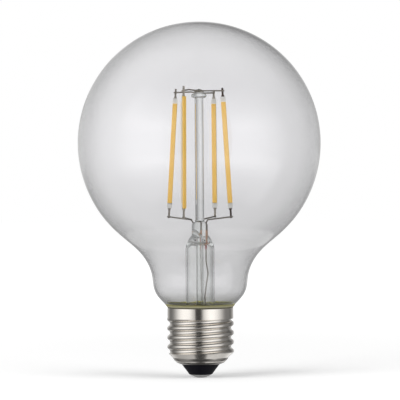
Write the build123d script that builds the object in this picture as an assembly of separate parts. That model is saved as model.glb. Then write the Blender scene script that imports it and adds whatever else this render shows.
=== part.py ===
from build123d import *
import os
from math import acos, ceil, cos, degrees, radians, sin, sqrt, tan

# Clear globe lamp with four light filaments and a screw cap, standing cap down.
# Millimetres and degrees. The origin is the middle of the centre contact, the lamp's axis is Z,
# and the front of the lamp faces -Y.

# Screw cap: a rolled metal shell with a round thread
thread_diameter = 26.1
thread_pitch = 3.629
thread_depth = 1.095
thread_start_height = 21.1
shell_wall = 0.3
cap_height = 27.4
collar_height = 4.35
collar_step = 0.15
rim_round = 0.25
shell_end_height = 5.2
shell_end_radius = 4.4
shell_end_inset = 0.65
shell_lip_overhang = 0.6
run_out_height = 2.7
run_out_slope = 46.0

# Insulator and centre contact under the shell
insulator_tip_radius = 4.5
contact_radius = 4.3
contact_height = 1.25
contact_flat_radius = 1.5
contact_shank_radius = 1.3
contact_clinch = 0.7
insulator_floor = 1.4
insulator_flange_angle = 45.0
board_seat_width = 1.1
board_clearance = 0.45
seat_gap = 0.05

# Glass envelope
globe_diameter = 95.0
glass_wall = 0.8
throat_radius = 18.5
shoulder_overhang = 5.6
shoulder_radius = 8.5
shoulder_slope = 45.0
neck_fillet = 2.0
neck_depth = 6.0
cement_gap = 1.7
bead_rise = 1.05
bead_bulge = 0.12
rim_gap = 0.15

# Stem: flare tube, press, exhaust tube, rod and button
flare_radius = 5.7
flare_wall = 0.9
stem_height = 31.6
stem_shoulder_radius = 7.5
stem_shoulder_drop = 3.0
stem_floor_radius = 2.2
press_width = 6.3
press_depth = 8.0
press_height = 7.8
press_corner = 2.0
press_top_round = 1.5
press_root = 0.5
exhaust_diameter = 3.1
exhaust_wall = 0.6
exhaust_tail = 4.4
exhaust_mouth_radius = 1.25
exhaust_mouth_rise = 2.0
exhaust_mouth_slope = 38.0
rod_diameter = 3.4
rod_foot_flare = 0.2
rod_foot_height = 0.9
button_diameter = 6.0
button_thickness = 1.7
button_drop = 0.7
button_dome_height = 1.8

# Filaments and the wires that carry them
bottom_ring_radius = 13.6
bottom_ring_turn = 18.3
top_ring_radius = 10.9
top_ring_turn = 12.3
filament_quarters = (135.0, -135.0, 45.0, -45.0)
filament_face_angles = (-90.0, 125.0, -105.0, -85.0)
strip_length = 43.4
strip_width = 1.85
strip_thickness = 0.6
bare_end = 2.1
coat_thickness = 0.5
coat_round = 0.35
back_coat_width = 1.65
lower_terminal = 3.4
upper_terminal = 2.2
terminal_width = 0.75
terminal_root_width = 1.3
terminal_taper = 0.9
terminal_thickness = 0.35
lower_overrun = 0.5
upper_overruns = (1.5, 1.75, 0.85, 1.1)
wire_diameter = 0.55
wire_overrun = 0.7
wire_bend = 1.0
weld_bite = 0.06
top_wire_spacing = 1.6
front_wire_lift = 0.3
rear_wire_drop = 0.6
front_hump_share = 0.36
rear_hump_share = 0.64
hump_height = 0.45
lead_rise = 2.0
lead_dip = 0.9
lead_entry = 0.45
lead_bend = 0.5
lead_gap = 0.3
seal_diameter = 0.7
seal_length = 6.9
seal_depth = 3.2
seal_edge = 0.85
rear_seal_shift = 0.5
tail_diameter = 0.5
tail_wave = 0.7
front_tail_sways = (0.0, 1.0, 0.0, -0.8, -0.2)
rear_tail_sways = (0.1, 0.4, 0.6, 0.9, 0.5)

# Driver inside the cap
board_gap = 1.4
board_thickness = 1.0
board_hole_gap = 0.1
part_edge = 0.6
head_room = 1.6
capacitor_diameter = 6.3
inductor_diameter = 6.0
inductor_height = 4.4
inductor_flange = 0.8
inductor_winding_inset = 0.7
rectifier_length = 4.6
rectifier_width = 3.8
rectifier_height = 2.4
resistor_diameter = 2.4
resistor_height = 4.2
module_width = 10.0
module_thickness = 0.8
module_can_width = 7.6
module_can_depth = 1.6
module_can_margin = 1.2
supply_wire_diameter = 0.9
capacitor_angle = 215.0
inductor_angle = 322.0
rectifier_angle = 163.0
resistor_angle = 8.0
neutral_angle = -95.0

# Radii and heights that follow from the sizes above
thread_radius = thread_diameter / 2
root_radius = thread_radius - thread_depth
thread_arc_radius = ((thread_pitch / 2) ** 2 + thread_depth ** 2) / (4 * thread_depth)
collar_radius = thread_radius - collar_step
collar_bore = collar_radius - shell_wall
collar_bottom = cap_height - collar_height
shell_bore = root_radius - shell_wall
end_centre = root_radius - shell_end_inset - shell_end_radius
end_axis = shell_end_height + shell_end_radius
lip_radius = end_centre + shell_lip_overhang
insulator_arc = shell_end_radius - shell_wall - seat_gap
flange_radius = end_centre + insulator_arc * cos(radians(insulator_flange_angle))
flange_height = end_axis - insulator_arc * sin(radians(insulator_flange_angle))
insulator_floor_height = flange_height + insulator_floor
board_seat_height = insulator_floor_height + contact_clinch + board_clearance
seat_bore = flange_radius - board_seat_width
neck_radius = collar_bore - cement_gap
cement_bottom = collar_bottom + shell_wall + seat_gap
waist_radius = collar_radius + shoulder_overhang
seal_height = cap_height - neck_depth
flare_foot = seal_height - flare_wall
press_floor = seal_height + stem_height
press_top = press_floor + press_height
rod_radius = rod_diameter / 2
exhaust_radius = exhaust_diameter / 2
wire_radius = wire_diameter / 2
seal_radius = seal_diameter / 2
supply_wire_radius = supply_wire_diameter / 2
bottom_wire_height = press_top + lead_rise
top_wire_height = bottom_wire_height + lower_terminal + strip_length + upper_terminal
weld_height = press_top - seal_depth
seal_end = weld_height - seal_length
board_radius = shell_bore - board_gap
board_top = board_seat_height + board_thickness
lead_ring = rod_radius + rod_foot_flare + wire_radius
front_seal = Vector(press_width / 2 - seal_edge, -lead_ring)
rear_seal = Vector(rear_seal_shift, lead_ring + lead_gap)
link_foot = Vector(-lead_ring - lead_gap, 0)


def polar(radius, angle, centre=(0, 0)):
    """Point at a radius and angle from a centre."""
    return (centre[0] + radius * cos(radians(angle)), centre[1] + radius * sin(radians(angle)))


def turned(*outline):
    """Solid of revolution about the lamp's axis from the edges of a half section (radius, height)."""
    return revolve(Plane.XZ * make_face(list(outline)), Axis.Z)


def rod(foot, height, radius):
    """Upright round bar on a foot point."""
    return Pos(*foot) * Cylinder(radius, height, align=(Align.CENTER, Align.CENTER, Align.MIN))


def disc(radius, bottom, top):
    """Round disc or bar about the lamp's axis."""
    return rod((0, 0, bottom), top - bottom, radius)


def bent_wire(points, radius, bend):
    """Round wire along straight runs joined by arcs."""
    if len(points) > 2:
        path = FilletPolyline(*points, radius=bend)
    else:
        path = Line(*points)
    return sweep(Plane(path @ 0, z_dir=path % 0) * Circle(radius), path=path)


def beyond(point, start, length):
    """Point past the end of a run from start to point."""
    return point + (point - start).normalized() * length


def wave(wall, count, bottom):
    """Rolled thread line, bottom to top, moved inward by a wall: crest and root arcs that touch."""
    crest_arc = thread_arc_radius - wall
    root_arc = thread_arc_radius + wall
    crest_centre = thread_radius - thread_arc_radius
    root_centre = root_radius + thread_arc_radius
    half_turn = degrees(acos((2 * thread_arc_radius - thread_depth) / (2 * thread_arc_radius)))
    edges = []
    for turn in range(count):
        crest = bottom + turn * thread_pitch
        root = crest + thread_pitch / 2
        edges.append(CenterArc((crest_centre, crest), crest_arc, -half_turn, 2 * half_turn))
        edges.append(CenterArc((root_centre, root), root_arc, 180 + half_turn, -2 * half_turn))
    return edges


def threaded_core(wall):
    """Solid inside the rolled thread, its end rounded and its last turn cut back by a cone."""
    core_radius = root_radius - wall - shell_wall / 2
    inside_radius = core_radius - thread_depth
    turns_below = ceil((thread_start_height - shell_end_height) / thread_pitch) + 1
    turns_above = ceil((collar_bottom - thread_start_height) / thread_pitch)
    edges = wave(wall, turns_below + 1 + turns_above, thread_start_height - turns_below * thread_pitch)
    first = edges[0] @ 0
    last = edges[-1] @ 1
    closing = Polyline(
        (last.X, last.Y),
        (inside_radius, last.Y),
        (inside_radius, first.Y),
        (first.X, first.Y),
    )
    section = Plane.XZ * make_face(edges + closing.edges())
    half_turn = Helix(thread_pitch, thread_pitch / 2, thread_radius)
    first_half = sweep(section, path=half_turn, is_frenet=True)
    second_half = Pos(0, 0, thread_pitch / 2) * Rot(0, 0, 180) * first_half
    limit = shell_envelope(wall)
    core = disc(core_radius, 0, collar_bottom + shell_wall / 2)
    return core + (first_half & limit) + (second_half & limit) & limit


def shell_envelope(wall):
    """Room that the shell may fill: rounded end, then the cone that cuts the last turn back."""
    end_arc = shell_end_radius - wall
    kink_drop = shell_end_radius - run_out_height
    reach = sqrt(end_arc ** 2 - kink_drop ** 2)
    kink_angle = degrees(acos(reach / end_arc))
    rounded_end = CenterArc((end_centre, end_axis), end_arc, -90, 90 - kink_angle)
    kink = rounded_end @ 1
    clear_radius = thread_radius + thread_depth
    cone_top = kink.Y + (clear_radius - kink.X) / tan(radians(run_out_slope))
    top = collar_bottom + shell_wall / 2
    outline = Polyline(
        (kink.X, kink.Y),
        (clear_radius, cone_top),
        (clear_radius, top),
        (0, top),
        (0, end_axis - end_arc),
        (end_centre, end_axis - end_arc),
    )
    return turned(rounded_end, *outline.edges())


def make_screw_shell():
    """Thin rolled shell: collar, step, round thread inside and out, rounded end with an open lip."""
    collar = disc(collar_radius, collar_bottom, cap_height)
    collar = fillet(collar.edges().group_by(Axis.Z)[-1], rim_round)
    outside = threaded_core(0) + collar
    inside = threaded_core(shell_wall) + disc(collar_bore, collar_bottom + shell_wall, cap_height)
    inside += disc(shell_bore - shell_wall, collar_bottom - shell_wall, collar_bottom + 2 * shell_wall)
    return outside - inside - disc(lip_radius, 0, end_axis)


def make_insulator():
    """Moulded cone below the shell's lip, with a flange inside the shell and a ring that seats the board."""
    lip = lip_radius - seat_gap
    lip_angle = degrees(acos((lip - end_centre) / insulator_arc))
    flange = CenterArc((end_centre, end_axis), insulator_arc, -lip_angle, lip_angle - insulator_flange_angle)
    hole = contact_shank_radius + seat_gap
    outline = Polyline(
        (flange_radius, flange_height),
        (flange_radius, board_seat_height),
        (seat_bore, board_seat_height),
        (seat_bore, insulator_floor_height),
        (hole, insulator_floor_height),
        (hole, contact_height),
        (insulator_tip_radius, contact_height),
        (lip, shell_end_height),
        (lip, (flange @ 0).Y),
    )
    return turned(flange, *outline.edges())


def make_contact():
    """Domed contact with a hollow shank, clinched over inside the insulator."""
    bore = supply_wire_radius + seat_gap
    dome = RadiusArc(
        (contact_flat_radius, 0),
        (contact_radius, contact_height),
        -(contact_radius ** 2 + contact_height ** 2) / (2 * contact_height),
    )
    outline = Polyline(
        (contact_radius, contact_height),
        (contact_shank_radius, contact_height),
        (contact_shank_radius, insulator_floor_height),
        (contact_shank_radius + contact_clinch, insulator_floor_height),
        (contact_shank_radius, insulator_floor_height + contact_clinch),
        (bore, insulator_floor_height + contact_clinch),
        (bore, contact_height / 2),
        (0, contact_height / 2),
        (0, 0),
        (contact_flat_radius, 0),
    )
    return turned(dome, *outline.edges())


def envelope_line(inset):
    """Half section of the blown glass from the crown to the neck's end, moved inward by an inset."""
    slope = (cos(radians(shoulder_slope)), -sin(radians(shoulder_slope)))
    down = (-sin(radians(shoulder_slope)), -cos(radians(shoulder_slope)))
    shoulder_foot = waist_radius - shoulder_radius + shoulder_radius * slope[0]
    cone_run = (shoulder_foot - collar_bore) / -down[0]
    shoulder_height = cap_height + rim_gap - cone_run * down[1] - shoulder_radius * slope[1]
    shoulder_centre = (waist_radius - shoulder_radius, shoulder_height)
    throat_centre = (waist_radius + throat_radius, shoulder_height)
    globe_reach = globe_diameter / 2 + throat_radius
    globe_rise = sqrt(globe_reach ** 2 - throat_centre[0] ** 2)
    globe_centre = (0, shoulder_height + globe_rise)
    throat_angle = degrees(acos(throat_centre[0] / globe_reach))
    neck_run = (shoulder_foot + neck_fillet * slope[0] - neck_radius - neck_fillet) / -down[0]
    fillet_centre = (
        neck_radius + neck_fillet,
        shoulder_height + (shoulder_radius + neck_fillet) * slope[1] + neck_run * down[1],
    )
    globe = CenterArc(globe_centre, globe_diameter / 2 - inset, 90, -90 - throat_angle)
    throat = CenterArc(throat_centre, throat_radius + inset, 180 - throat_angle, throat_angle)
    shoulder = CenterArc(shoulder_centre, shoulder_radius - inset, 0, -shoulder_slope)
    fillet = CenterArc(fillet_centre, neck_fillet + inset, 180 - shoulder_slope, shoulder_slope)
    cone = Line(shoulder @ 1, fillet @ 0)
    neck = Line(fillet @ 1, (neck_radius - inset, seal_height))
    return [globe, throat, shoulder, cone, fillet, neck]


def make_envelope():
    """Blown globe, throat, shoulder and neck with an even wall, open at the neck."""
    outer = envelope_line(0)
    inner = envelope_line(glass_wall)
    rim = Line(outer[-1] @ 1, inner[-1] @ 1)
    crown = Line(outer[0] @ 0, inner[0] @ 0)
    return turned(*outer, *inner, rim, crown)


def make_cement():
    """Ring of cap cement between the glass neck and the collar, with a bead squeezed out over the rim."""
    cone, neck_arc, neck = envelope_line(0)[3:6]
    share = (cap_height + bead_rise - (cone @ 1).Y) / ((cone @ 0).Y - (cone @ 1).Y)
    top = (cone @ 1) + ((cone @ 0) - (cone @ 1)) * share
    foot = Vector(collar_radius - rim_round, cap_height)
    rise = (top - foot).normalized()
    middle = (foot + top) / 2 + Vector(rise.Y, -rise.X) * bead_bulge
    outline = Polyline(
        (foot.X, foot.Y),
        (collar_bore, cap_height),
        (collar_bore, cement_bottom),
        (neck_radius, cement_bottom),
        (neck_radius, (neck_arc @ 1).Y),
    )
    bead = ThreePointArc(foot, middle, top)
    return turned(bead, *outline.edges(), neck_arc, Line(neck_arc @ 0, top))


def make_stem(held):
    """Flared tube sealed to the neck, closed by the pinched press that holds the wires."""
    foot_arc = neck_radius - glass_wall - flare_radius
    foot_top = seal_height + foot_arc
    shoulder_start = press_floor - stem_shoulder_drop
    shoulder_centre = (flare_radius - stem_shoulder_radius, shoulder_start)
    closing = degrees(acos(-shoulder_centre[0] / stem_shoulder_radius))
    shoulder = CenterArc(shoulder_centre, stem_shoulder_radius, 0, closing)
    flare = CenterArc((neck_radius - glass_wall, foot_top), foot_arc, 180, 90)
    outline = Polyline(
        (neck_radius - glass_wall, seal_height),
        (neck_radius, seal_height),
        (neck_radius, flare_foot),
        (0, flare_foot),
        (0, (shoulder @ 1).Y),
    )
    body = turned(
        flare,
        Line((flare_radius, foot_top), (flare_radius, shoulder_start)),
        shoulder,
        *outline.edges(),
    )
    press = RectangleRounded(press_width, press_depth, press_corner)
    press = Pos(0, 0, press_floor - press_root) * extrude(press, press_height + press_root)
    press = fillet(press.faces().sort_by(Axis.Z)[-1].edges(), press_top_round)
    bore = flare_radius - flare_wall
    floor_round = bore - stem_floor_radius
    inner_foot = foot_arc + flare_wall
    cavity = turned(
        CenterArc((neck_radius - glass_wall, foot_top), inner_foot, 180, 90),
        Line((bore, foot_top), (bore, press_floor - floor_round)),
        CenterArc((stem_floor_radius, press_floor - floor_round), floor_round, 0, 90),
        *Polyline(
            (stem_floor_radius, press_floor),
            (0, press_floor),
            (0, flare_foot),
            (neck_radius - glass_wall, flare_foot),
        ).edges(),
    )
    mouth_turn = press_floor + exhaust_mouth_rise
    mouth = Pos(0, 0, mouth_turn) * Rot(0, exhaust_mouth_slope - 90, 0) * Cylinder(
        exhaust_mouth_radius, press_width, align=(Align.CENTER, Align.CENTER, Align.MIN)
    )
    passage = disc(exhaust_radius - exhaust_wall, press_floor - exhaust_wall, mouth_turn + exhaust_wall)
    stem = body + press - cavity - mouth - passage
    for piece in held:
        stem -= piece
    return stem


def make_exhaust_tube():
    """Thin tube from the press down into the cap, melted shut at its tip."""
    bore = exhaust_radius - exhaust_wall
    tip = seal_height - exhaust_tail
    outside = rod((0, 0, tip + exhaust_radius), press_floor - tip - exhaust_radius, exhaust_radius)
    outside += Pos(0, 0, tip + exhaust_radius) * Sphere(exhaust_radius)
    inside = rod((0, 0, tip + exhaust_radius), press_floor - tip - exhaust_radius, bore)
    inside += Pos(0, 0, tip + exhaust_radius) * Sphere(bore)
    return outside - inside


def make_support_rod(held):
    """Glass rod on the press, its top flattened to a button that the top wires are set in."""
    button_top = top_wire_height - button_drop
    button_bottom = button_top - button_thickness
    edge = button_thickness / 2
    edge_centre = button_diameter / 2 - edge
    dome_radius = (edge_centre ** 2 + button_dome_height ** 2) / (2 * button_dome_height)
    outline = Polyline(
        (edge_centre, button_bottom),
        (rod_radius, button_bottom),
        (rod_radius, press_top + rod_foot_height),
        (rod_radius + rod_foot_flare, press_top),
        (0, press_top),
        (0, button_top + button_dome_height),
    )
    rim = CenterArc((edge_centre, button_bottom + edge), edge, -90, 180)
    dome_half = degrees(acos((dome_radius - button_dome_height) / dome_radius))
    dome = CenterArc(
        (0, button_top + button_dome_height - dome_radius), dome_radius, 90 - dome_half, dome_half
    )
    body = turned(rim, dome, *outline.edges())
    for piece in held:
        body -= piece
    return body


def filament_plane(number):
    """Frame of one filament: origin at its bottom wire, Z along the strip, Y out of its front face."""
    quarter = filament_quarters[number]
    foot = Vector(*polar(bottom_ring_radius, quarter + bottom_ring_turn), bottom_wire_height)
    head = Vector(*polar(top_ring_radius, quarter + top_ring_turn), top_wire_height)
    face = Vector(*polar(1, filament_face_angles[number]), 0)
    along = head - foot
    return Plane(foot, x_dir=face.cross(along), z_dir=along), along.length


def coat(width, length):
    """Phosphor bead along one face of a strip, its two outer edges rounded."""
    section = Pos(0, coat_thickness / 2) * Rectangle(width, coat_thickness)
    section = fillet(section.vertices().group_by(Axis.Y)[-1], coat_round)
    return extrude(section, length)


def terminal(length):
    """Flat tab that widens towards the strip, from the strip's end outward along +Z."""
    half = terminal_width / 2
    root = terminal_root_width / 2
    outline = Polyline(
        (-root, 0),
        (root, 0),
        (half, terminal_taper),
        (half, length),
        (-half, length),
        (-half, terminal_taper),
        close=True,
    )
    return extrude(Plane.XZ * make_face(outline), terminal_thickness / 2, both=True)


def make_filament(number, bottom_wire, top_wire):
    """Strip, phosphor coats and terminals of one filament, in place."""
    plane, span = filament_plane(number)
    strip = Pos(0, 0, lower_terminal) * Box(
        strip_width, strip_thickness, strip_length, align=(Align.CENTER, Align.CENTER, Align.MIN)
    )
    front_coat = coat(strip_width, strip_length - 2 * bare_end)
    front = Pos(0, strip_thickness / 2, lower_terminal + bare_end) * front_coat
    back_coat = coat(back_coat_width, strip_length)
    back = Rot(0, 0, 180) * Pos(0, strip_thickness / 2, lower_terminal) * back_coat
    strip_end = lower_terminal + strip_length
    lower = Pos(0, 0, lower_terminal) * Rot(180, 0, 0) * terminal(lower_terminal + lower_overrun)
    upper = Pos(0, 0, strip_end) * terminal(span - strip_end + upper_overruns[number])
    at = plane.location
    terminals = Compound([at * lower - bottom_wire, at * upper - top_wire])
    return at * strip, Compound([at * front, at * back]), terminals


def weld_points(number):
    """Where the wires' axes pass a filament's lower and upper terminal."""
    plane, span = filament_plane(number)
    stand_off = terminal_thickness / 2 + wire_radius - weld_bite
    return plane.from_local_coords((0, stand_off, 0)), plane.from_local_coords((0, stand_off, span))


def make_top_wire(first, second, side, lift, hump_share):
    """Bent wire through the button that joins the tops of two filaments, with a hump on its left run."""
    start = weld_points(first)[1]
    end = weld_points(second)[1]
    middle = Vector(0, side * top_wire_spacing / 2, top_wire_height + lift)
    hump = start + (middle - start) * hump_share + Vector(0, 0, hump_height)
    points = (beyond(start, hump, wire_overrun), hump, middle, beyond(end, middle, wire_overrun))
    return bent_wire(points, wire_radius, wire_bend)


def make_lead(number, seal):
    """Wire from a right hand filament's foot to its weld in the press."""
    start = weld_points(number)[0]
    entry = Vector(seal.X, seal.Y, press_top)
    reach = Vector(start.X - seal.X, start.Y - seal.Y, 0).normalized()
    bend = entry + reach * lead_dip + Vector(0, 0, lead_dip)
    points = (
        beyond(start, bend, wire_overrun),
        bend,
        Vector(seal.X, seal.Y, press_top - lead_entry),
        Vector(seal.X, seal.Y, weld_height),
    )
    return bent_wire(points, wire_radius, lead_bend)


def make_link():
    """Wires that join the feet of the two left hand filaments, one of them with its end set in the press."""
    rear = weld_points(0)[0]
    front = weld_points(1)[0]
    bend = Vector(link_foot.X - lead_dip, link_foot.Y, press_top + lead_dip)
    points = (
        beyond(rear, bend, wire_overrun),
        bend,
        Vector(link_foot.X, link_foot.Y, press_top - lead_entry),
        Vector(link_foot.X, link_foot.Y, weld_height),
    )
    held = bent_wire(points, wire_radius, lead_bend)
    cross = Vector(bend.X, bend.Y, bend.Z + weld_bite)
    ends = (beyond(front, cross, wire_overrun), beyond(cross, front, wire_overrun))
    return held + bent_wire(ends, wire_radius, lead_bend)


def make_tail(seal, landing, sways):
    """Thin flexible lead from a seal wire down through the flare and the driver board."""
    drop = (seal_end - seal_height) / (len(sways) + 1)
    points = [Vector(seal.X, seal.Y, seal_end)]
    for step, sway in enumerate(sways):
        points.append(Vector(seal.X + sway * tail_wave, seal.Y, seal_end - (step + 1) * drop))
    points.append(Vector(landing.X, landing.Y, board_top + head_room))
    points.append(Vector(landing.X, landing.Y, board_seat_height - board_thickness / 2))
    return bent_wire(points, tail_diameter / 2, wire_bend)


def make_board(holes):
    """Round driver board on the insulator's seat ring, with a hole for each wire."""
    board = disc(board_radius, board_seat_height, board_top)
    for place, radius in holes:
        board -= rod((place.X, place.Y, board_seat_height), board_thickness, radius + board_hole_gap)
    return board


def make_inductor():
    """Drum core with its winding between two flanges."""
    radius = inductor_diameter / 2
    inset = radius - inductor_winding_inset
    body = disc(radius, 0, inductor_flange)
    body += disc(inset, inductor_flange, inductor_height - inductor_flange)
    return body + disc(radius, inductor_height - inductor_flange, inductor_height)


def make_wireless_module(height):
    """Small upright board with a shield can on its inner face."""
    board = Box(module_width, module_thickness, height, align=(Align.CENTER, Align.MAX, Align.MIN))
    can_height = height - 2 * module_can_margin
    can = Pos(0, -module_thickness, module_can_margin) * Box(
        module_can_width, module_can_depth, can_height, align=(Align.CENTER, Align.MAX, Align.MIN)
    )
    return board + can


def on_board(angle, radius):
    """Place on the board, an even edge inside its rim, for a part of a given radius."""
    return Pos(*polar(board_radius - part_edge - radius, angle), board_top)


parts = {}

# Wires first, because the glass and the terminals close round them
parts["top_wire_front"] = make_top_wire(1, 3, -1, front_wire_lift, front_hump_share)
parts["top_wire_rear"] = make_top_wire(0, 2, 1, -rear_wire_drop, rear_hump_share)
parts["link_wire"] = make_link()
parts["lead_wire_front"] = make_lead(3, front_seal)
parts["lead_wire_rear"] = make_lead(2, rear_seal)
parts["seal_wire_front"] = rod((front_seal.X, front_seal.Y, seal_end), seal_length, seal_radius)
parts["seal_wire_rear"] = rod((rear_seal.X, rear_seal.Y, seal_end), seal_length, seal_radius)

# Filaments: rear left, front left, rear right, front right
bottom_wires = ("link_wire", "link_wire", "lead_wire_rear", "lead_wire_front")
top_wires = ("top_wire_rear", "top_wire_front", "top_wire_rear", "top_wire_front")
for number in range(len(filament_face_angles)):
    strip, phosphor, terminals = make_filament(number, parts[bottom_wires[number]], parts[top_wires[number]])
    parts[f"filament_{number + 1}_strip"] = strip
    parts[f"filament_{number + 1}_phosphor"] = phosphor
    parts[f"filament_{number + 1}_terminals"] = terminals

# Glass
sealed_in = ("link_wire", "lead_wire_front", "lead_wire_rear", "seal_wire_front", "seal_wire_rear")
parts["glass_envelope"] = make_envelope()
parts["stem_flare"] = make_stem([parts[name] for name in sealed_in])
parts["exhaust_tube"] = make_exhaust_tube()
parts["support_rod"] = make_support_rod([parts["top_wire_front"], parts["top_wire_rear"]])

# Cap
parts["cap_cement"] = make_cement()
parts["screw_shell"] = make_screw_shell()
parts["cap_insulator"] = make_insulator()
parts["centre_contact"] = make_contact()

# Driver in the cap
front_landing = Vector(front_seal.X, front_seal.Y)
rear_landing = Vector(front_seal.X, rear_seal.Y)
neutral_landing = Vector(*polar(seat_bore - part_edge - supply_wire_radius, neutral_angle))
parts["outer_lead_front"] = make_tail(front_seal, front_landing, front_tail_sways)
parts["outer_lead_rear"] = make_tail(rear_seal, rear_landing, rear_tail_sways)
live_top = board_top + board_thickness / 2
parts["live_wire"] = rod((0, 0, contact_height / 2), live_top - contact_height / 2, supply_wire_radius)
wall_place = Vector(*polar(shell_bore - supply_wire_radius - seat_gap, neutral_angle))
parts["neutral_wire"] = bent_wire(
    (
        Vector(neutral_landing.X, neutral_landing.Y, board_seat_height - board_thickness / 2),
        Vector(neutral_landing.X, neutral_landing.Y, board_top + head_room),
        Vector(wall_place.X, wall_place.Y, board_top + 2 * head_room),
        Vector(wall_place.X, wall_place.Y, flare_foot - head_room),
    ),
    supply_wire_radius,
    wire_bend,
)
tail_radius = tail_diameter / 2
parts["driver_board"] = make_board(
    (
        (front_landing, tail_radius),
        (rear_landing, tail_radius),
        (neutral_landing, supply_wire_radius),
        (Vector(0, 0), supply_wire_radius),
    )
)
tall_part = flare_foot - head_room - board_top
capacitor_radius = capacitor_diameter / 2
rectifier_reach = sqrt(rectifier_length ** 2 + rectifier_width ** 2) / 2
resistor_radius = resistor_diameter / 2
capacitor = rod((0, 0, 0), tall_part, capacitor_radius)
parts["smoothing_capacitor"] = on_board(capacitor_angle, capacitor_radius) * capacitor
parts["inductor"] = on_board(inductor_angle, inductor_diameter / 2) * make_inductor()
parts["bridge_rectifier"] = on_board(rectifier_angle, rectifier_reach) * Box(
    rectifier_length, rectifier_width, rectifier_height, align=(Align.CENTER, Align.CENTER, Align.MIN)
)
resistor = rod((0, 0, 0), resistor_height, resistor_radius)
parts["fusible_resistor"] = on_board(resistor_angle, resistor_radius) * resistor
module_back = sqrt((board_radius - part_edge) ** 2 - (module_width / 2) ** 2)
parts["wireless_module"] = Pos(0, module_back, board_top) * make_wireless_module(tall_part)

os.makedirs("parts", exist_ok=True)
for name, part in parts.items():
    export_step(part, f"parts/{name}.step")
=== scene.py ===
import math

import bpy
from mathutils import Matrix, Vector
from mathutils.bvhtree import BVHTree


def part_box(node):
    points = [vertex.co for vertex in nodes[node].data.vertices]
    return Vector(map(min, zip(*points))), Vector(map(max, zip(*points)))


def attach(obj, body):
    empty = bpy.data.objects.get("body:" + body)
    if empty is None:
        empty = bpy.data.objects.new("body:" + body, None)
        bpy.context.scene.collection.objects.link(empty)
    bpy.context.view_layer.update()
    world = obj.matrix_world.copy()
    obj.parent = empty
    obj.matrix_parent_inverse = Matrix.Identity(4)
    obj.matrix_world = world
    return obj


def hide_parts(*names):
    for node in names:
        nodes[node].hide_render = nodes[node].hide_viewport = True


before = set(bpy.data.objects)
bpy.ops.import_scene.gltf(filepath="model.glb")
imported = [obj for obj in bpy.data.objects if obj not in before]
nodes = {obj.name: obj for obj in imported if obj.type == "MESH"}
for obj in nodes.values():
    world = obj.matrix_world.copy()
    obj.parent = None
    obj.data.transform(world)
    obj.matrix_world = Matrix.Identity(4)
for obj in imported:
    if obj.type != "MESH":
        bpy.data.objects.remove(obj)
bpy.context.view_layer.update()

mm = 0.001


# Filament strips: thin white ceramic bars that carry the light chips. They are cut from a fired
# sheet, and their ends stay bare where the terminals are clamped on.
filament_numbers = (1, 2, 3, 4)
pore_size = 0.25 * mm
pore_depth = 0.02 * mm
fired_white = (0.92, 0.915, 0.885)
fired_shade = (0.84, 0.835, 0.80)


class Level:
    """A value that changes over a surface. Sums on it add Math nodes to the finish."""

    def __init__(self, socket):
        self.socket = socket

    def sum(self, operation, *terms):
        """Adds a Math node that works on the terms."""
        tree = self.socket.id_data
        math_node = tree.nodes.new("ShaderNodeMath")
        math_node.operation = operation
        for place, term in zip(math_node.inputs, terms):
            if isinstance(term, Level):
                tree.links.new(term.socket, place)
            else:
                place.default_value = term
        return Level(math_node.outputs[0])

    def __add__(self, other):
        return self.sum("ADD", self, other)

    __radd__ = __add__

    def __sub__(self, other):
        return self.sum("SUBTRACT", self, other)

    def __rsub__(self, other):
        return self.sum("SUBTRACT", other, self)

    def __mul__(self, other):
        return self.sum("MULTIPLY", self, other)

    __rmul__ = __mul__

    def __truediv__(self, other):
        return self.sum("DIVIDE", self, other)

    def __pow__(self, other):
        return self.sum("POWER", self, other)

    def sine(self):
        return self.sum("SINE", self)

    def highest(self, other):
        return self.sum("MAXIMUM", self, other)

    def lowest(self, other):
        return self.sum("MINIMUM", self, other)

    def degrees(self, operation, *others):
        """Angle in degrees, from an operation that gives it in radians."""
        return self.sum(operation, self, *others) * (180 / math.pi)


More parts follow.
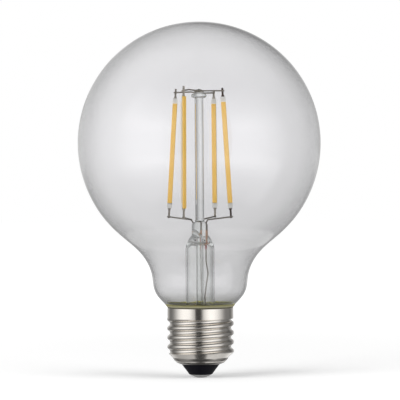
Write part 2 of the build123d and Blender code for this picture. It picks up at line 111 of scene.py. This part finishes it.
class Finish:
    """Node tree of one finish."""

    def __init__(self, owner):
        owner.use_nodes = True
        self.owner = owner
        self.tree = owner.node_tree
        self.tree.nodes.clear()

    def node(self, kind, settings=None, sockets=None, output=0):
        """Adds a node: its settings, then the values or links of its sockets. Gives an output."""
        made = self.tree.nodes.new(kind)
        for name, setting in (settings or {}).items():
            setattr(made, name, setting)
        for name, value in (sockets or {}).items():
            place = made.inputs[name]
            if isinstance(value, Level):
                self.tree.links.new(value.socket, place)
            elif place.type == "RGBA":
                place.default_value = (*value, 1)
            else:
                place.default_value = value
        return Level(made.outputs[output]) if len(made.outputs) else None

    def place(self):
        """Point on the surface in the lamp's own frame, in metres."""
        return self.node("ShaderNodeTexCoord", output="Object")

    def grain(self, size, detail=2.0, rough=0.5, stretch=(1, 1, 1)):
        """Noise from 0 to 1 with grains of about a given size in metres."""
        scaled = self.node("ShaderNodeMapping", None, {"Vector": self.place(), "Scale": stretch})
        return self.node("ShaderNodeTexNoise", None, {
            "Vector": scaled, "Scale": 1 / size, "Detail": detail, "Roughness": rough,
        })

    def axis(self, name):
        """One coordinate of the surface point."""
        return self.node("ShaderNodeSeparateXYZ", None, {"Vector": self.place()}, output=name)

    def band(self, value, start, end):
        """Smooth step from 0 at start to 1 at end."""
        return self.node("ShaderNodeMapRange", {"interpolation_type": "SMOOTHSTEP"}, {
            "Value": value, "From Min": start, "From Max": end,
        })

    def blend(self, share, first, second):
        """Colour that goes from the first to the second with a share."""
        colours = {0: share, 6: first, 7: second}
        return self.node("ShaderNodeMix", {"data_type": "RGBA"}, colours, output=2)

    def length(self, vector):
        """How long a vector is."""
        return self.node(
            "ShaderNodeVectorMath", {"operation": "LENGTH"}, {0: vector}, output="Value"
        )

    def bump(self, height, depth):
        """Normal from a height from 0 to 1 that stands for a depth in metres."""
        return self.node("ShaderNodeBump", None, {
            "Height": height, "Distance": depth, "Strength": 1.0,
        })

    def surface(self, **sockets):
        """Plain shader of the finish, with its sockets by name."""
        named = {name.replace("_", " "): value for name, value in sockets.items()}
        return self.node("ShaderNodeBsdfPrincipled", None, named)

    def close(self, shader, volume=None):
        """Ends the tree in a surface and, for glass, what fills it."""
        ends = {"Surface": shader}
        if volume is not None:
            ends["Volume"] = volume
        kind = "World" if isinstance(self.owner, bpy.types.World) else "Material"
        self.node(f"ShaderNodeOutput{kind}", None, ends)
        return self.owner


def dress(material, *names):
    """Gives CAD nodes a finish."""
    for name in names:
        nodes[name].data.materials.clear()
        nodes[name].data.materials.append(material)


finish = Finish(bpy.data.materials.new("fired_ceramic"))
pores = finish.grain(pore_size, detail=4)
dress(
    finish.close(finish.surface(
        Base_Color=finish.blend(pores, fired_white, fired_shade),
        Roughness=0.45 + 0.2 * pores,
        Normal=finish.bump(pores, pore_depth),
    )),
    *(f"filament_{number}_strip" for number in filament_numbers),
)


# Phosphor coats: yellow phosphor powder in clear silicone, drawn as a bead along both faces of
# each strip over a row of small chips. The bead is thinner over each chip, so the row shows
# through. A faint painted glow makes the coat give off a little light of its own.
chip_pitch = 1.35 * mm
chip_show = 0.05
cloud_size = 4 * mm
powder_size = 0.18 * mm
powder_show = 0.25
powder_depth = 0.025 * mm
light_spread = (0.6 * mm, 0.4 * mm, 0.15 * mm)
deep_yellow = (0.90, 0.55, 0.11)
pale_yellow = (0.93, 0.64, 0.22)
painted_glow_yellow = (1.0, 0.56, 0.09)

finish = Finish(bpy.data.materials.new("phosphor_silicone"))
chips = (finish.axis("Z") * (math.tau / chip_pitch)).sine() * chip_show
cloud = finish.grain(cloud_size, detail=3, stretch=(1, 1, 0.35))
powder = finish.grain(powder_size, detail=3)
thinness = cloud + chips + powder_show * (powder - 0.5)
dress(
    finish.close(finish.surface(
        Base_Color=finish.blend(thinness, deep_yellow, pale_yellow),
        Roughness=0.42 + 0.2 * powder,
        Normal=finish.bump(powder + 2 * chips, powder_depth),
        Subsurface_Weight=0.12,
        Subsurface_Radius=light_spread,
        Subsurface_Scale=1.0,
        # painted glow: the coat gives off a little light, though it is no lamp
        Emission_Color=painted_glow_yellow,
        Emission_Strength=0.15,
    )),
    *(f"filament_{number}_phosphor" for number in filament_numbers),
)


# Filament terminals: tabs blanked from plated strip, clamped on the ceramic and spot welded to the
# wires. The welds leave the plating dull and a little brown, and on the front right filament dark.
stain_size = 0.8 * mm
rub_size = 0.12 * mm
rub_depth = 0.01 * mm

for name, numbers, bright, stained in (
    ("plated_tab", (1, 2, 3), (0.70, 0.665, 0.60), (0.48, 0.43, 0.36)),
    ("scorched_tab", (4,), (0.16, 0.12, 0.10), (0.08, 0.055, 0.045)),
):
    finish = Finish(bpy.data.materials.new(name))
    stain = finish.grain(stain_size, detail=3)
    rub = finish.grain(rub_size, stretch=(1, 1, 0.15))
    dress(
        finish.close(finish.surface(
            Base_Color=finish.blend(stain, bright, stained),
            Metallic=0.9,
            Roughness=0.34 + 0.25 * rub,
            Normal=finish.bump(rub, rub_depth),
        )),
        *(f"filament_{number}_terminals" for number in numbers),
    )


# Inner wires: drawn nickel wire, bent with hand tools and annealed when the glass was pressed, so
# it is grey brown. The thin outer leads below the press are the same wire, drawn finer.
inner_wires = (
    "top_wire_front", "top_wire_rear", "link_wire", "lead_wire_front", "lead_wire_rear",
)
outer_leads = ("outer_lead_front", "outer_lead_rear")
anneal_size = 1.6 * mm
draw_size = 0.1 * mm
draw_depth = 0.008 * mm
wire_grey = (0.52, 0.485, 0.44)
wire_brown = (0.31, 0.28, 0.24)

finish = Finish(bpy.data.materials.new("annealed_nickel_wire"))
anneal = finish.grain(anneal_size, detail=3)
draw = finish.grain(draw_size, detail=1)
dress(
    finish.close(finish.surface(
        Base_Color=finish.blend(anneal, wire_grey, wire_brown),
        Metallic=0.9,
        Roughness=0.36 + 0.2 * draw,
        Normal=finish.bump(draw, draw_depth),
    )),
    *inner_wires, *outer_leads,
)


# Seal wires: copper clad wire that the glass of the press grips. Inside the glass the copper is
# bright and pale, and below the press the flame has left a mauve oxide on it.
seal_wires = ("seal_wire_front", "seal_wire_rear")
press_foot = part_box("exhaust_tube")[1].z
oxide_start = press_foot + 0.6 * mm
oxide_full = press_foot - 0.9 * mm
oxide_ragged = 1.2 * mm
flame_size = 0.9 * mm
flame_depth = 0.01 * mm
bright_copper = (0.86, 0.55, 0.40)
mauve_oxide = (0.46, 0.17, 0.17)

finish = Finish(bpy.data.materials.new("clad_seal_wire"))
flame = finish.grain(flame_size, detail=3)
ragged_height = finish.axis("Z") + oxide_ragged * (flame - 0.5)
oxide = finish.band(ragged_height, oxide_start, oxide_full)
dress(
    finish.close(finish.surface(
        Base_Color=finish.blend(oxide, bright_copper, mauve_oxide),
        Metallic=0.75,
        Roughness=0.33 + 0.2 * flame,
        Normal=finish.bump(flame, flame_depth),
    )),
    *seal_wires,
)


# Stem: flared glass tube, pinched shut round the wires while hot, with the exhaust tube melted on
# below and the rod above, which ends in a pressed button. The flame leaves one piece of glass, with
# no seam where the pieces met.
stem_pieces = ("stem_flare", "exhaust_tube", "support_rod")
wire_grip = 0.03 * mm
touching = 0.005 * mm
stem_clear = (0.995, 1.0, 0.995)


def set_up(name, made):
    """Puts a mesh, a lamp or a camera into the scene."""
    thing = bpy.data.objects.new(name, made)
    bpy.context.scene.collection.objects.link(thing)
    return thing


stem = set_up("fused_stem", nodes[stem_pieces[0]].data.copy())
for name in stem_pieces[1:]:
    melt = stem.modifiers.new(name, "BOOLEAN")
    melt.operation = "UNION"
    melt.object = nodes[name]
graph = bpy.context.evaluated_depsgraph_get()
stem.data = bpy.data.meshes.new_from_object(stem.evaluated_get(graph))
stem.modifiers.clear()
for name in inner_wires + seal_wires:
    wire = BVHTree.FromObject(nodes[name], graph)
    for vertex in stem.data.vertices:
        spot, outward, _, _ = wire.find_nearest(vertex.co, touching)
        if spot is not None:
            vertex.co -= outward * wire_grip
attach(stem, "root")
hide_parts(*stem_pieces)

# painted shade: the glass darkens downwards between the first two heights, and again just over the
# cement
lower_shade_start, lower_shade_full = 92 * mm, 46 * mm
painted_shade_top, painted_shade_full = 33.4 * mm, 28.4 * mm
cement_height, cement_end = 28.0 * mm, 28.7 * mm
haze_size = 9 * mm
haze = 0.012


def clear_glass(
    name, ior, upper_tint, painted_lower_tint, painted_edge_tint, rim_power, painted_shade_tint,
    cast, density, ripple_depth, ripple_size, shadow_tint,
):
    """Clear glass: wavy from the flame, tinted by its wall, and open to the lamps' light. Painted
    shade darkens it towards the bottom and over the cement, and a painted edge tint changes it edge
    on."""
    glass = Finish(bpy.data.materials.new(name))
    ripple = glass.grain(ripple_size, detail=1)
    smears = glass.grain(haze_size, detail=4, rough=0.6)
    # painted edge tint: seen edge on, the glass takes another tint, painted shade on the stem,
    # painted light on the globe
    edge_on = glass.node("ShaderNodeLayerWeight", None, {"Blend": 0.5}, output="Facing")
    height = glass.axis("Z")
    painted_lower_shade = glass.band(height, lower_shade_start, lower_shade_full)
    tinted = glass.blend(painted_lower_shade, upper_tint, painted_lower_tint)
    painted_edges = glass.blend(edge_on ** rim_power, tinted, painted_edge_tint)
    painted_shade_over_cement = (
        glass.band(height, painted_shade_top, painted_shade_full)
        * glass.band(height, cement_height, cement_end)
    )
    body = glass.surface(
        Base_Color=glass.blend(painted_shade_over_cement, painted_edges, painted_shade_tint),
        Roughness=haze * smears,
        Normal=glass.bump(ripple, ripple_depth),
        Transmission_Weight=1.0,
        IOR=ior,
    )
    through = glass.node("ShaderNodeBsdfTransparent", None, {"Color": shadow_tint})
    in_shadow = glass.node("ShaderNodeLightPath", output="Is Shadow Ray")
    mixed = glass.node("ShaderNodeMixShader", None, {0: in_shadow, 1: body, 2: through})
    fill = glass.node("ShaderNodeVolumeAbsorption", None, {"Color": cast, "Density": density})
    return glass.close(mixed, fill)


stem.data.materials.clear()
stem.data.materials.append(clear_glass(
    "stem_glass", ior=1.46,
    upper_tint=stem_clear, painted_lower_tint=stem_clear, painted_shade_tint=stem_clear,
    # painted shade: edge on, the stem glass darkens to this tint
    painted_edge_tint=(0.93, 0.945, 0.93), rim_power=1.6,
    cast=(0.58, 0.66, 0.60), density=22.0,
    ripple_depth=0.02 * mm, ripple_size=3 * mm,
    shadow_tint=(0.97, 0.98, 0.97),
))


# Envelope: a globe of glass under a millimetre thick, blown in a turned mould, drawn in at the
# throat and melted on to the flare of the stem. Hot glass keeps no sudden bend, so the outline is
# evened along the globe, and once more where the throat was drawn in.
glass_wall = 0.8 * mm
globe_radius = 47.5 * mm
globe_steps = 120
throat_round = 18.5 * mm
throat_steps = 18
waist = 18.5 * mm
shoulder_round = 8.5 * mm
shoulder_slope = math.radians(45)
shoulder_steps = 7
cone_steps = 6
neck_round = 2.0 * mm
neck_steps = 5
neck_radius = 10.9 * mm
neck_end = 21.4 * mm
mouth_radius = 12.6 * mm
mouth_height = 27.55 * mm
globe_sides = 240
even_share = 0.25
blowing_passes = 6
moulded_height = 29.5 * mm
drawing_passes = 24
drawn_height = 52.3 * mm
drawn_reach = 13 * mm
crease = math.radians(40)


def arc(across, height, radius, first, turn, steps):
    """Points along an arc of the half section, after its first one."""
    angles = [first + turn * step / steps for step in range(1, steps + 1)]
    return [
        (across + radius * math.cos(angle), height + radius * math.sin(angle)) for angle in angles
    ]


lean_out, lean_down = math.cos(shoulder_slope), math.sin(shoulder_slope)
foot = waist - shoulder_round * (1 - lean_out)
cone_height = (foot - mouth_radius) / lean_down * lean_out
shoulder_height = mouth_height + cone_height + shoulder_round * lean_down
throat_middle = waist + throat_round
throat_angle = math.acos(throat_middle / (globe_radius + throat_round))
globe_height = shoulder_height + (globe_radius + throat_round) * math.sin(throat_angle)
neck_middle = neck_radius + neck_round
neck_run = (foot + neck_round * lean_out - neck_middle) / lean_down
neck_height = shoulder_height - (shoulder_round + neck_round) * lean_down - neck_run * lean_out

outside = [(0, globe_height + globe_radius)]
outside += arc(
    0, globe_height, globe_radius, math.pi / 2, -math.pi / 2 - throat_angle, globe_steps
)
outside += arc(
    throat_middle, shoulder_height, throat_round, math.pi - throat_angle, throat_angle, throat_steps
)
outside += arc(
    waist - shoulder_round, shoulder_height, shoulder_round, 0, -shoulder_slope, shoulder_steps
)
cone_radius, cone_top = outside[-1]
for step in range(1, cone_steps + 1):
    down_cone = neck_run * step / cone_steps
    outside.append((cone_radius - down_cone * lean_down, cone_top - down_cone * lean_out))
outside += arc(
    neck_middle, neck_height, neck_round, math.pi - shoulder_slope, shoulder_slope, neck_steps
)
outside.append((neck_radius, neck_end))

for count in range(blowing_passes + drawing_passes):
    over_crown = [(-outside[1][0], outside[1][1])] + outside
    evened = []
    for before, spot, after in zip(over_crown, outside, outside[1:] + outside[-1:]):
        if count < blowing_passes:
            softness = spot[1] > moulded_height
        else:
            softness = max(0, 1 - ((spot[1] - drawn_height) / drawn_reach) ** 2) ** 2
        evened.append(tuple(
            here + even_share * softness * (last + following - 2 * here)
            for last, here, following in zip(before, spot, after)
        ))
    outside = evened

inside = [(0, outside[0][1] - glass_wall)]
for before, spot, after in zip(outside, outside[1:], outside[2:]):
    run, rise = after[0] - before[0], after[1] - before[1]
    share = glass_wall / math.hypot(run, rise)
    inside.append((spot[0] + share * rise, spot[1] - share * run))
inside.append((neck_radius - glass_wall, neck_end))

section = outside[1:] + inside[:0:-1]
corners = [(0, 0, outside[0][1])]
for radius, height in section:
    for side in range(globe_sides):
        bearing = math.tau * side / globe_sides
        corners.append((radius * math.cos(bearing), radius * math.sin(bearing), height))
corners.append((0, 0, inside[0][1]))
inner_crown = len(corners) - 1
last_ring = inner_crown - globe_sides
panes = []
for side in range(globe_sides):
    following = (side + 1) % globe_sides
    panes.append((0, 1 + side, 1 + following))
    for ring in range(len(section) - 1):
        near = 1 + ring * globe_sides
        far = near + globe_sides
        panes.append((near + side, far + side, far + following, near + following))
    panes.append((last_ring + side, inner_crown, last_ring + following))
envelope_mesh = bpy.data.meshes.new("blown_envelope")
envelope_mesh.from_pydata(corners, [], panes)
envelope_mesh.shade_smooth()
envelope_mesh.set_sharp_from_angle(angle=crease)
envelope_mesh.materials.append(clear_glass(
    "blown_glass", ior=1.5,
    # painted shade: the globe is darker towards the bottom and darker again over the cement
    upper_tint=(0.925, 0.922, 0.933), painted_lower_tint=(0.80, 0.798, 0.806),
    painted_shade_tint=(0.59, 0.59, 0.575),
    # painted light: edge on, the globe's grey tint clears to white
    painted_edge_tint=(1.0, 1.0, 1.0), rim_power=1.0,
    cast=(0.54, 0.55, 0.57), density=20.0,
    ripple_depth=0.02 * mm, ripple_size=16 * mm,
    shadow_tint=(0.985, 0.985, 0.985),
))
envelope = set_up("blown_envelope", envelope_mesh)
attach(envelope, "root")
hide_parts("glass_envelope")


# Cap cement: a ring of baked resin and stone powder that fills the room between the glass neck and
# the collar. It wets the glass and thins out above the bead to a smear with a ragged edge, which
# is yellow where it is seen through the glass. Over the rim it carries a painted highlight, a pale
# band, and at the rim a painted shadow, a dark line.
rim_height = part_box("screw_shell")[1].z
bead_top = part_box("cap_cement")[1].z
glass_bite = 0.04 * mm
wetting = 0.03 * mm

cement = set_up("wetted_cement", nodes["cap_cement"].data.copy())
graph = bpy.context.evaluated_depsgraph_get()
glass_face = BVHTree.FromObject(envelope, graph)
for vertex in cement.data.vertices:
    spot, outward, _, _ = glass_face.find_nearest(vertex.co, wetting)
    if spot is not None:
        vertex.co -= outward * glass_bite
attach(cement, "root")
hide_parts("cap_cement")

smear_rise = 0.26 * mm
smear_wave = 0.04 * mm
smear_waves = ((7, 1.3, 1.0), (19, 0.0, 0.7), (43, 2.1, 0.5))
smear_overlap = 0.35 * mm
smear_film = 0.03 * mm
smear_root = 0.1 * mm
smear_rings = 7
smear_sides = 240

smear_corners = []
smear_faces = []
for side in range(smear_sides):
    bearing = math.tau * side / smear_sides
    wave = sum(tall * math.sin(crests * bearing + start) for crests, start, tall in smear_waves)
    rise = smear_rise + smear_wave * wave + smear_overlap
    line = []
    for ring in range(smear_rings):
        share = ring / (smear_rings - 1)
        height = bead_top - smear_overlap + rise * share
        glass_radius = mouth_radius + (height - mouth_height) / math.tan(shoulder_slope)
        line.append((glass_radius + smear_film + smear_root * (1 - share), height))
        line.insert(0, (glass_radius - glass_bite, height))
    first = len(smear_corners)
    following = (first + len(line)) % (smear_sides * len(line))
    for place, (radius, height) in enumerate(line):
        smear_corners.append((radius * math.cos(bearing), radius * math.sin(bearing), height))
        after = (place + 1) % len(line)
        smear_faces.append((first + place, following + place, following + after, first + after))
smear_mesh = bpy.data.meshes.new("cement_smear")
smear_mesh.from_pydata(smear_corners, [], smear_faces)
for face in smear_mesh.polygons:
    face.material_index = int(face.index % (2 * smear_rings) < smear_rings - 1)
smear_mesh.shade_smooth()
smear_mesh.set_sharp_from_angle(angle=crease)
smear = set_up("cement_smear", smear_mesh)
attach(smear, "root")

# painted highlight in a pale band just over the rim, and painted shadow in a dark line at the rim
highlight_top, highlight_full = rim_height + 1.0 * mm, rim_height + 0.6 * mm
rim_shadow_top, rim_shadow_full = rim_height + 0.5 * mm, rim_height + 0.15 * mm
lump_size = 1.8 * mm
sand_size = 0.2 * mm
sand_depth = 0.05 * mm
painted_highlight_grey = (0.27, 0.26, 0.19)
painted_shadow_dark = (0.05, 0.045, 0.035)

cement.data.materials.clear()
for name, light, dark, meshes in (
    ("baked_cement", (0.22, 0.205, 0.075), (0.13, 0.12, 0.047), (cement.data, smear_mesh)),
    ("cement_on_glass", (0.86, 0.81, 0.17), (0.60, 0.56, 0.12), (smear_mesh,)),
):
    finish = Finish(bpy.data.materials.new(name))
    lumps = finish.grain(lump_size, detail=4)
    sand = finish.grain(sand_size, detail=3)
    height = finish.axis("Z")
    # painted highlight and painted shadow, set by height over the rim
    painted_highlight = finish.band(height, highlight_top, highlight_full)
    painted_rim_shadow = finish.band(height, rim_shadow_top, rim_shadow_full)
    olive = finish.blend(lumps + 0.5 * (sand - 0.5), light, dark)
    olive_with_highlight = finish.blend(0.6 * painted_highlight, olive, painted_highlight_grey)
    cement_finish = finish.close(finish.surface(
        Base_Color=finish.blend(0.75 * painted_rim_shadow, olive_with_highlight, painted_shadow_dark),
        Roughness=0.6 + 0.3 * sand,
        Normal=finish.bump(sand, sand_depth),
    ))
    for mesh in meshes:
        mesh.materials.append(cement_finish)


# Screw shell: thin sheet drawn to a cup, with the round thread rolled into it, then plated with
# bright nickel. The rolling leaves fine lines round the shell, and handling leaves soft smears.
line_size = 0.5 * mm
line_depth = 0.004 * mm
handled_size = 5 * mm
bright_nickel = (0.85, 0.815, 0.765)
handled_nickel = (0.76, 0.72, 0.67)

finish = Finish(bpy.data.materials.new("bright_nickel_plate"))
rolled = finish.grain(line_size, detail=3, stretch=(0.02, 0.02, 6))
handled = finish.grain(handled_size, detail=4, rough=0.6)
dress(
    finish.close(finish.surface(
        Base_Color=finish.blend(handled, bright_nickel, handled_nickel),
        Metallic=1.0,
        Roughness=0.10 + 0.10 * handled,
        Normal=finish.bump(rolled, line_depth),
    )),
    "screw_shell",
)


# Cap insulator: black glass moulded into the end of the shell, with a cone below it. It has a fine
# pressed grain and a soft shine.
pressed_size = 0.4 * mm
pressed_depth = 0.02 * mm
deep_black = (0.003, 0.003, 0.005)
pressed_black = (0.006, 0.006, 0.009)

finish = Finish(bpy.data.materials.new("black_insulator"))
pressed = finish.grain(pressed_size, detail=3)
dress(
    finish.close(finish.surface(
        Base_Color=finish.blend(pressed, deep_black, pressed_black),
        Roughness=0.28 + 0.2 * pressed,
        Specular_IOR_Level=0.1,
        Normal=finish.bump(pressed, pressed_depth),
    )),
    "cap_insulator",
)


# Centre contact: a shallow dome pressed from plated sheet, its shank clinched inside the insulator.
# Turning it into a lampholder rubs fine rings into the plating.
ring_pitch = 0.22 * mm
ring_depth = 0.006 * mm
wear_size = 1.2 * mm
plated_grey = (0.44, 0.44, 0.44)
worn_grey = (0.32, 0.315, 0.31)

finish = Finish(bpy.data.materials.new("rubbed_contact"))
wear = finish.grain(wear_size, detail=4)
flat_place = finish.node(
    "ShaderNodeMapping", None, {"Vector": finish.place(), "Scale": (1, 1, 0)}
)
rings = 0.5 + 0.5 * (finish.length(flat_place) * (math.tau / ring_pitch)).sine()
dress(
    finish.close(finish.surface(
        Base_Color=finish.blend(wear, plated_grey, worn_grey),
        Metallic=0.35,
        Roughness=0.38 + 0.15 * wear,
        Normal=finish.bump(rings * wear, ring_depth),
    )),
    "centre_contact",
)


# Driver in the cap: a round lacquered board on the insulator with a rectifier, an inductor, a
# capacitor, a resistor and an upright wireless module, soldered to the leads and to the two
# sleeved supply wires.
track_pitch = 1.6 * mm
track_depth = 0.03 * mm
skin_depth = 0.03 * mm
lacquer_green = (0.018, 0.11, 0.045)
track_green = (0.05, 0.22, 0.09)

finish = Finish(bpy.data.materials.new("green_board"))
tracks = finish.node("ShaderNodeTexVoronoi", {"distance": "MANHATTAN"}, {
    "Vector": finish.place(), "Scale": 1 / track_pitch, "Randomness": 0.35,
})
copper = finish.band(tracks, 0.42, 0.50)
dress(
    finish.close(finish.surface(
        Base_Color=finish.blend(copper, lacquer_green, track_green),
        Roughness=0.25 + 0.1 * copper,
        Normal=finish.bump(copper, track_depth),
    )),
    "driver_board", "wireless_module",
)

for name, light, dark, rough, skin_size, bodies in (
    ("moulded_black", (0.035, 0.035, 0.036), (0.02, 0.02, 0.02), 0.4, 0.3 * mm,
     ("bridge_rectifier",)),
    ("ferrite_drum", (0.05, 0.047, 0.045), (0.022, 0.02, 0.02), 0.5, 0.2 * mm,
     ("inductor",)),
    ("film_sleeve", (0.022, 0.024, 0.045), (0.014, 0.015, 0.03), 0.2, 1.5 * mm,
     ("smoothing_capacitor",)),
    ("resistor_lacquer", (0.26, 0.37, 0.43), (0.18, 0.28, 0.34), 0.3, 0.6 * mm,
     ("fusible_resistor",)),
    ("wire_sleeve", (0.75, 0.73, 0.68), (0.62, 0.60, 0.56), 0.5, 0.8 * mm,
     ("live_wire", "neutral_wire")),
):
    finish = Finish(bpy.data.materials.new(name))
    skin = finish.grain(skin_size, detail=3)
    dress(
        finish.close(finish.surface(
            Base_Color=finish.blend(skin, light, dark),
            Roughness=rough + 0.2 * skin,
            Normal=finish.bump(skin, skin_depth),
        )),
        *bodies,
    )


# Studio: a white floor that runs on into a white room, lit by two square lamps. Metal and the shine
# of the glass see soft boxes with a dark gap at the camera, a table, a bowed card and a backdrop.
# Clear glass shows white, darker to the right and past the ends of the backdrop.
floor_half = 6.0
floor_white = 0.90
fleck_white = 0.01
fleck_size = 0.4
near_glow = 0.20
far_glow = 0.66
lit_reach = 0.08
unlit_reach = 0.75

floor_mesh = bpy.data.meshes.new("floor")
floor_corners = [
    (x * floor_half, y * floor_half, 0) for x, y in ((-1, -1), (1, -1), (1, 1), (-1, 1))
]
floor_mesh.from_pydata(floor_corners, [], [(0, 1, 2, 3)])
floor = set_up("floor", floor_mesh)
floor.visible_glossy = False
floor.visible_transmission = False

finish = Finish(bpy.data.materials.new("white_floor"))
fleck = finish.grain(fleck_size, detail=2)
unlit = finish.band(finish.length(finish.place()), lit_reach, unlit_reach)
floor_mesh.materials.append(finish.close(finish.surface(
    Base_Color=finish.blend(fleck, (floor_white,) * 3, (floor_white + fleck_white,) * 3),
    Roughness=0.9,
    Specular_IOR_Level=0.0,
    Emission_Color=finish.blend(unlit, (near_glow,) * 3, (far_glow,) * 3),
    Emission_Strength=1.0,
)))

world = bpy.data.worlds.new("white_room")
bpy.context.scene.world = world
finish = Finish(world)
towards = finish.node("ShaderNodeTexCoord", output="Generated")
side, ahead, up = (
    finish.node("ShaderNodeSeparateXYZ", None, {"Vector": towards}, output=name) for name in "XYZ"
)
turn = side.degrees("ARCTAN2", 0 - ahead)
rear_turn = side.degrees("ARCTAN2", ahead)
off_backdrop = ahead.degrees("ARCCOSINE")
lift = up.degrees("ARCSINE")
turn_squared = turn * turn

# Each pair below runs from where a thing ends to where it is full. Lift is in degrees above the
# level, turn in degrees to the right of the camera, and rear turn of the backdrop's middle.
box_foot, box_head = (-32, -10), (48, 13)
left_box_end, left_box_gap, left_box_core = (-118, -55), (-16, -21), (-19, -42)
right_box_gap, right_box_core, right_box_end = (0, 14), (5, 33), (102, 40)
left_box_rim, right_box_rim = 0.5, 0.55
left_box_light, right_box_light = 1.15, 1.2
left_box = (
    finish.band(turn, *left_box_end) * finish.band(turn, *left_box_gap)
    * (left_box_rim + (1 - left_box_rim) * finish.band(turn, *left_box_core))
)
right_box = (
    right_box_rim * finish.band(turn, *right_box_gap)
    + (1 - right_box_rim) * finish.band(turn, *right_box_core)
) * finish.band(turn, *right_box_end)
box_height = finish.band(lift, *box_foot) * finish.band(lift, *box_head)
soft_boxes = box_height * (left_box_light * left_box + right_box_light * right_box)

wall_near, wall_far = (30 ** 2, 80 ** 2), (150 ** 2, 110 ** 2)
wall_light = 0.16
side_walls = (
    wall_light * finish.band(turn_squared, *wall_near) * finish.band(turn_squared, *wall_far)
)

table_edge, table_foot, table_front = (-8, -18), (-56, -42), (0.05, -0.15)
table_sides, table_left = (0, 30 ** 2), (-48, -82)
table_light = 0.5
table_middle = 0.6
table_left_loss = 0.7
table = (
    table_light
    * finish.band(lift, *table_edge) * finish.band(lift, *table_foot)
    * finish.band(ahead, *table_front)
    * (table_middle + (1 - table_middle) * finish.band(turn_squared, *table_sides))
    * (1 - table_left_loss * finish.band(turn, *table_left))
)

card_bow = 0.06
card_near, card_far = (0.665, 0.70), (0.775, 0.735)
card_gap, card_right = (0.12 ** 2, 0.2 ** 2), (-0.1, 0.1)
card_light, card_right_light = 0.40, 0.2
bowed = (0 - up - card_bow) / (2 - 2 * (ahead - card_bow * up)) ** 0.5
card_below = (
    finish.band(bowed, *card_near) * finish.band(bowed, *card_far)
    * finish.band(side * side, *card_gap)
    * (card_light + card_right_light * finish.band(side, *card_right))
)

floor_low, floor_rear = (-20, -45), (-0.5, 0.6)
floor_light = 0.32
floor_behind = floor_light * finish.band(lift, *floor_low) * finish.band(ahead, *floor_rear)

backdrop_end, backdrop_top, backdrop_foot = (55, 22), (4, 30), (-1, -9)
top_right, dip_right, dip_height = (-8, 4), (0, 12), (-3, 1)
backdrop_light = 0.55
top_loss, top_right_loss, foot_loss, dip_loss = 0.45, 0.35, 0.42, 0.2
backdrop_head = top_loss + top_right_loss * finish.band(rear_turn, *top_right)
backdrop = (
    backdrop_light * finish.band(off_backdrop, *backdrop_end)
    * (1 - backdrop_head * finish.band(lift, *backdrop_top))
    * (1 - foot_loss * finish.band(lift, *backdrop_foot))
    * (1 - dip_loss * finish.band(rear_turn, *dip_right) * finish.band(lift, *dip_height))
)

to_eye, shiny, clear, mirrors_met, faces_crossed = (
    finish.node("ShaderNodeLightPath", output=name) for name in (
        "Is Camera Ray", "Is Glossy Ray", "Is Transmission Ray", "Glossy Depth",
        "Transmission Depth",
    )
)
before_glass = finish.band(faces_crossed, 0.8, 0.2)
past_glass = finish.band(faces_crossed, 0.2, 0.8)
past_globe = finish.band(faces_crossed, 4.5, 5.5)
before_flare = finish.band(faces_crossed, 7.5, 6.5)

dark_room = 0.06
stem_light = 0.27
seen_in_shine = (
    dark_room + soft_boxes + side_walls + table + backdrop
    + card_below * before_glass + floor_behind * past_glass + stem_light * past_globe
)

right_end, right_end_far = (8, 18), (100, 75)
left_end, left_end_far = (-42, -55), (-100, -75)
fall_right, rear_half = (-0.5, 4.0), (0.0, 0.3)
rod_right, rod_left = (4, 22), (-8, -38)
end_loss, fall_loss, rod_right_loss, rod_left_loss = 0.22, 0.125, 0.20, 0.34
backdrop_ends = (
    finish.band(rear_turn, *right_end) * finish.band(rear_turn, *right_end_far)
    + finish.band(rear_turn, *left_end) * finish.band(rear_turn, *left_end_far)
)
to_the_rear = finish.band(ahead, *rear_half)
right_fall = fall_loss * finish.band(rear_turn, *fall_right) * to_the_rear
rod_sides = to_the_rear * (
    rod_right_loss * finish.band(rear_turn, *rod_right)
    + rod_left_loss * finish.band(rear_turn, *rod_left)
)
seen_through_glass = (
    1 - right_fall - end_loss * backdrop_ends - past_globe * before_flare * rod_sides
)

room_diffuse = 0.40
mirrored = mirrors_met.lowest(1.0)
shine = mirrored * shiny.highest(clear)
straight = clear * (1 - mirrored)
plain = (1 - to_eye) * (1 - shine) * (1 - straight)
level = room_diffuse * plain + to_eye + seen_through_glass * straight + seen_in_shine * shine
finish.close(finish.node("ShaderNodeBackground", None, {"Color": (1, 1, 1), "Strength": level}))

lamp_distance = 0.9
lamp_rise = 0.35
lamp_size = 0.7
lamp_power = 9.5
aim = Vector((0, 0, 0.075))
for name, azimuth, share in (("left_lamp", -52.0, 1.0), ("right_lamp", 58.0, 0.75)):
    lamp = bpy.data.lights.new(name, "AREA")
    lamp.shape = "SQUARE"
    lamp.size = lamp_size
    lamp.energy = lamp_power * share
    box = set_up(name, lamp)
    bearing = math.radians(azimuth)
    box.location = aim + lamp_distance * Vector((math.sin(bearing), -math.cos(bearing), lamp_rise))
    box.rotation_euler = (aim - box.location).to_track_quat("-Z", "Y").to_euler()
    box.visible_glossy = False
    box.visible_transmission = False
    box.visible_camera = False


# Camera: a long lens straight in front of the lamp, level with the middle of its height. Light may
# pass the many faces of the glass, and throws no caustics.
camera_distance = 0.850
camera_height = 69.4 * mm
camera_side = 0.16 * mm
camera_roll = 0.4
picture_width = 156.6 * mm
film_width = 36.0
glass_bounces = 40
metal_bounces = 12

camera = bpy.data.cameras.new("camera")
camera.sensor_width = film_width
camera.lens = film_width * camera_distance / picture_width
camera.clip_start = 0.01
eye = set_up("camera", camera)
eye.location = (camera_side, -camera_distance, camera_height)
eye.rotation_euler = (math.radians(90), math.radians(camera_roll), 0)

scene = bpy.context.scene
scene.camera = eye
scene.view_settings.view_transform = "Standard"
scene.cycles.max_bounces = glass_bounces
scene.cycles.transmission_bounces = glass_bounces
scene.cycles.glossy_bounces = metal_bounces
scene.cycles.transparent_max_bounces = glass_bounces
scene.cycles.caustics_reflective = False
scene.cycles.caustics_refractive = False
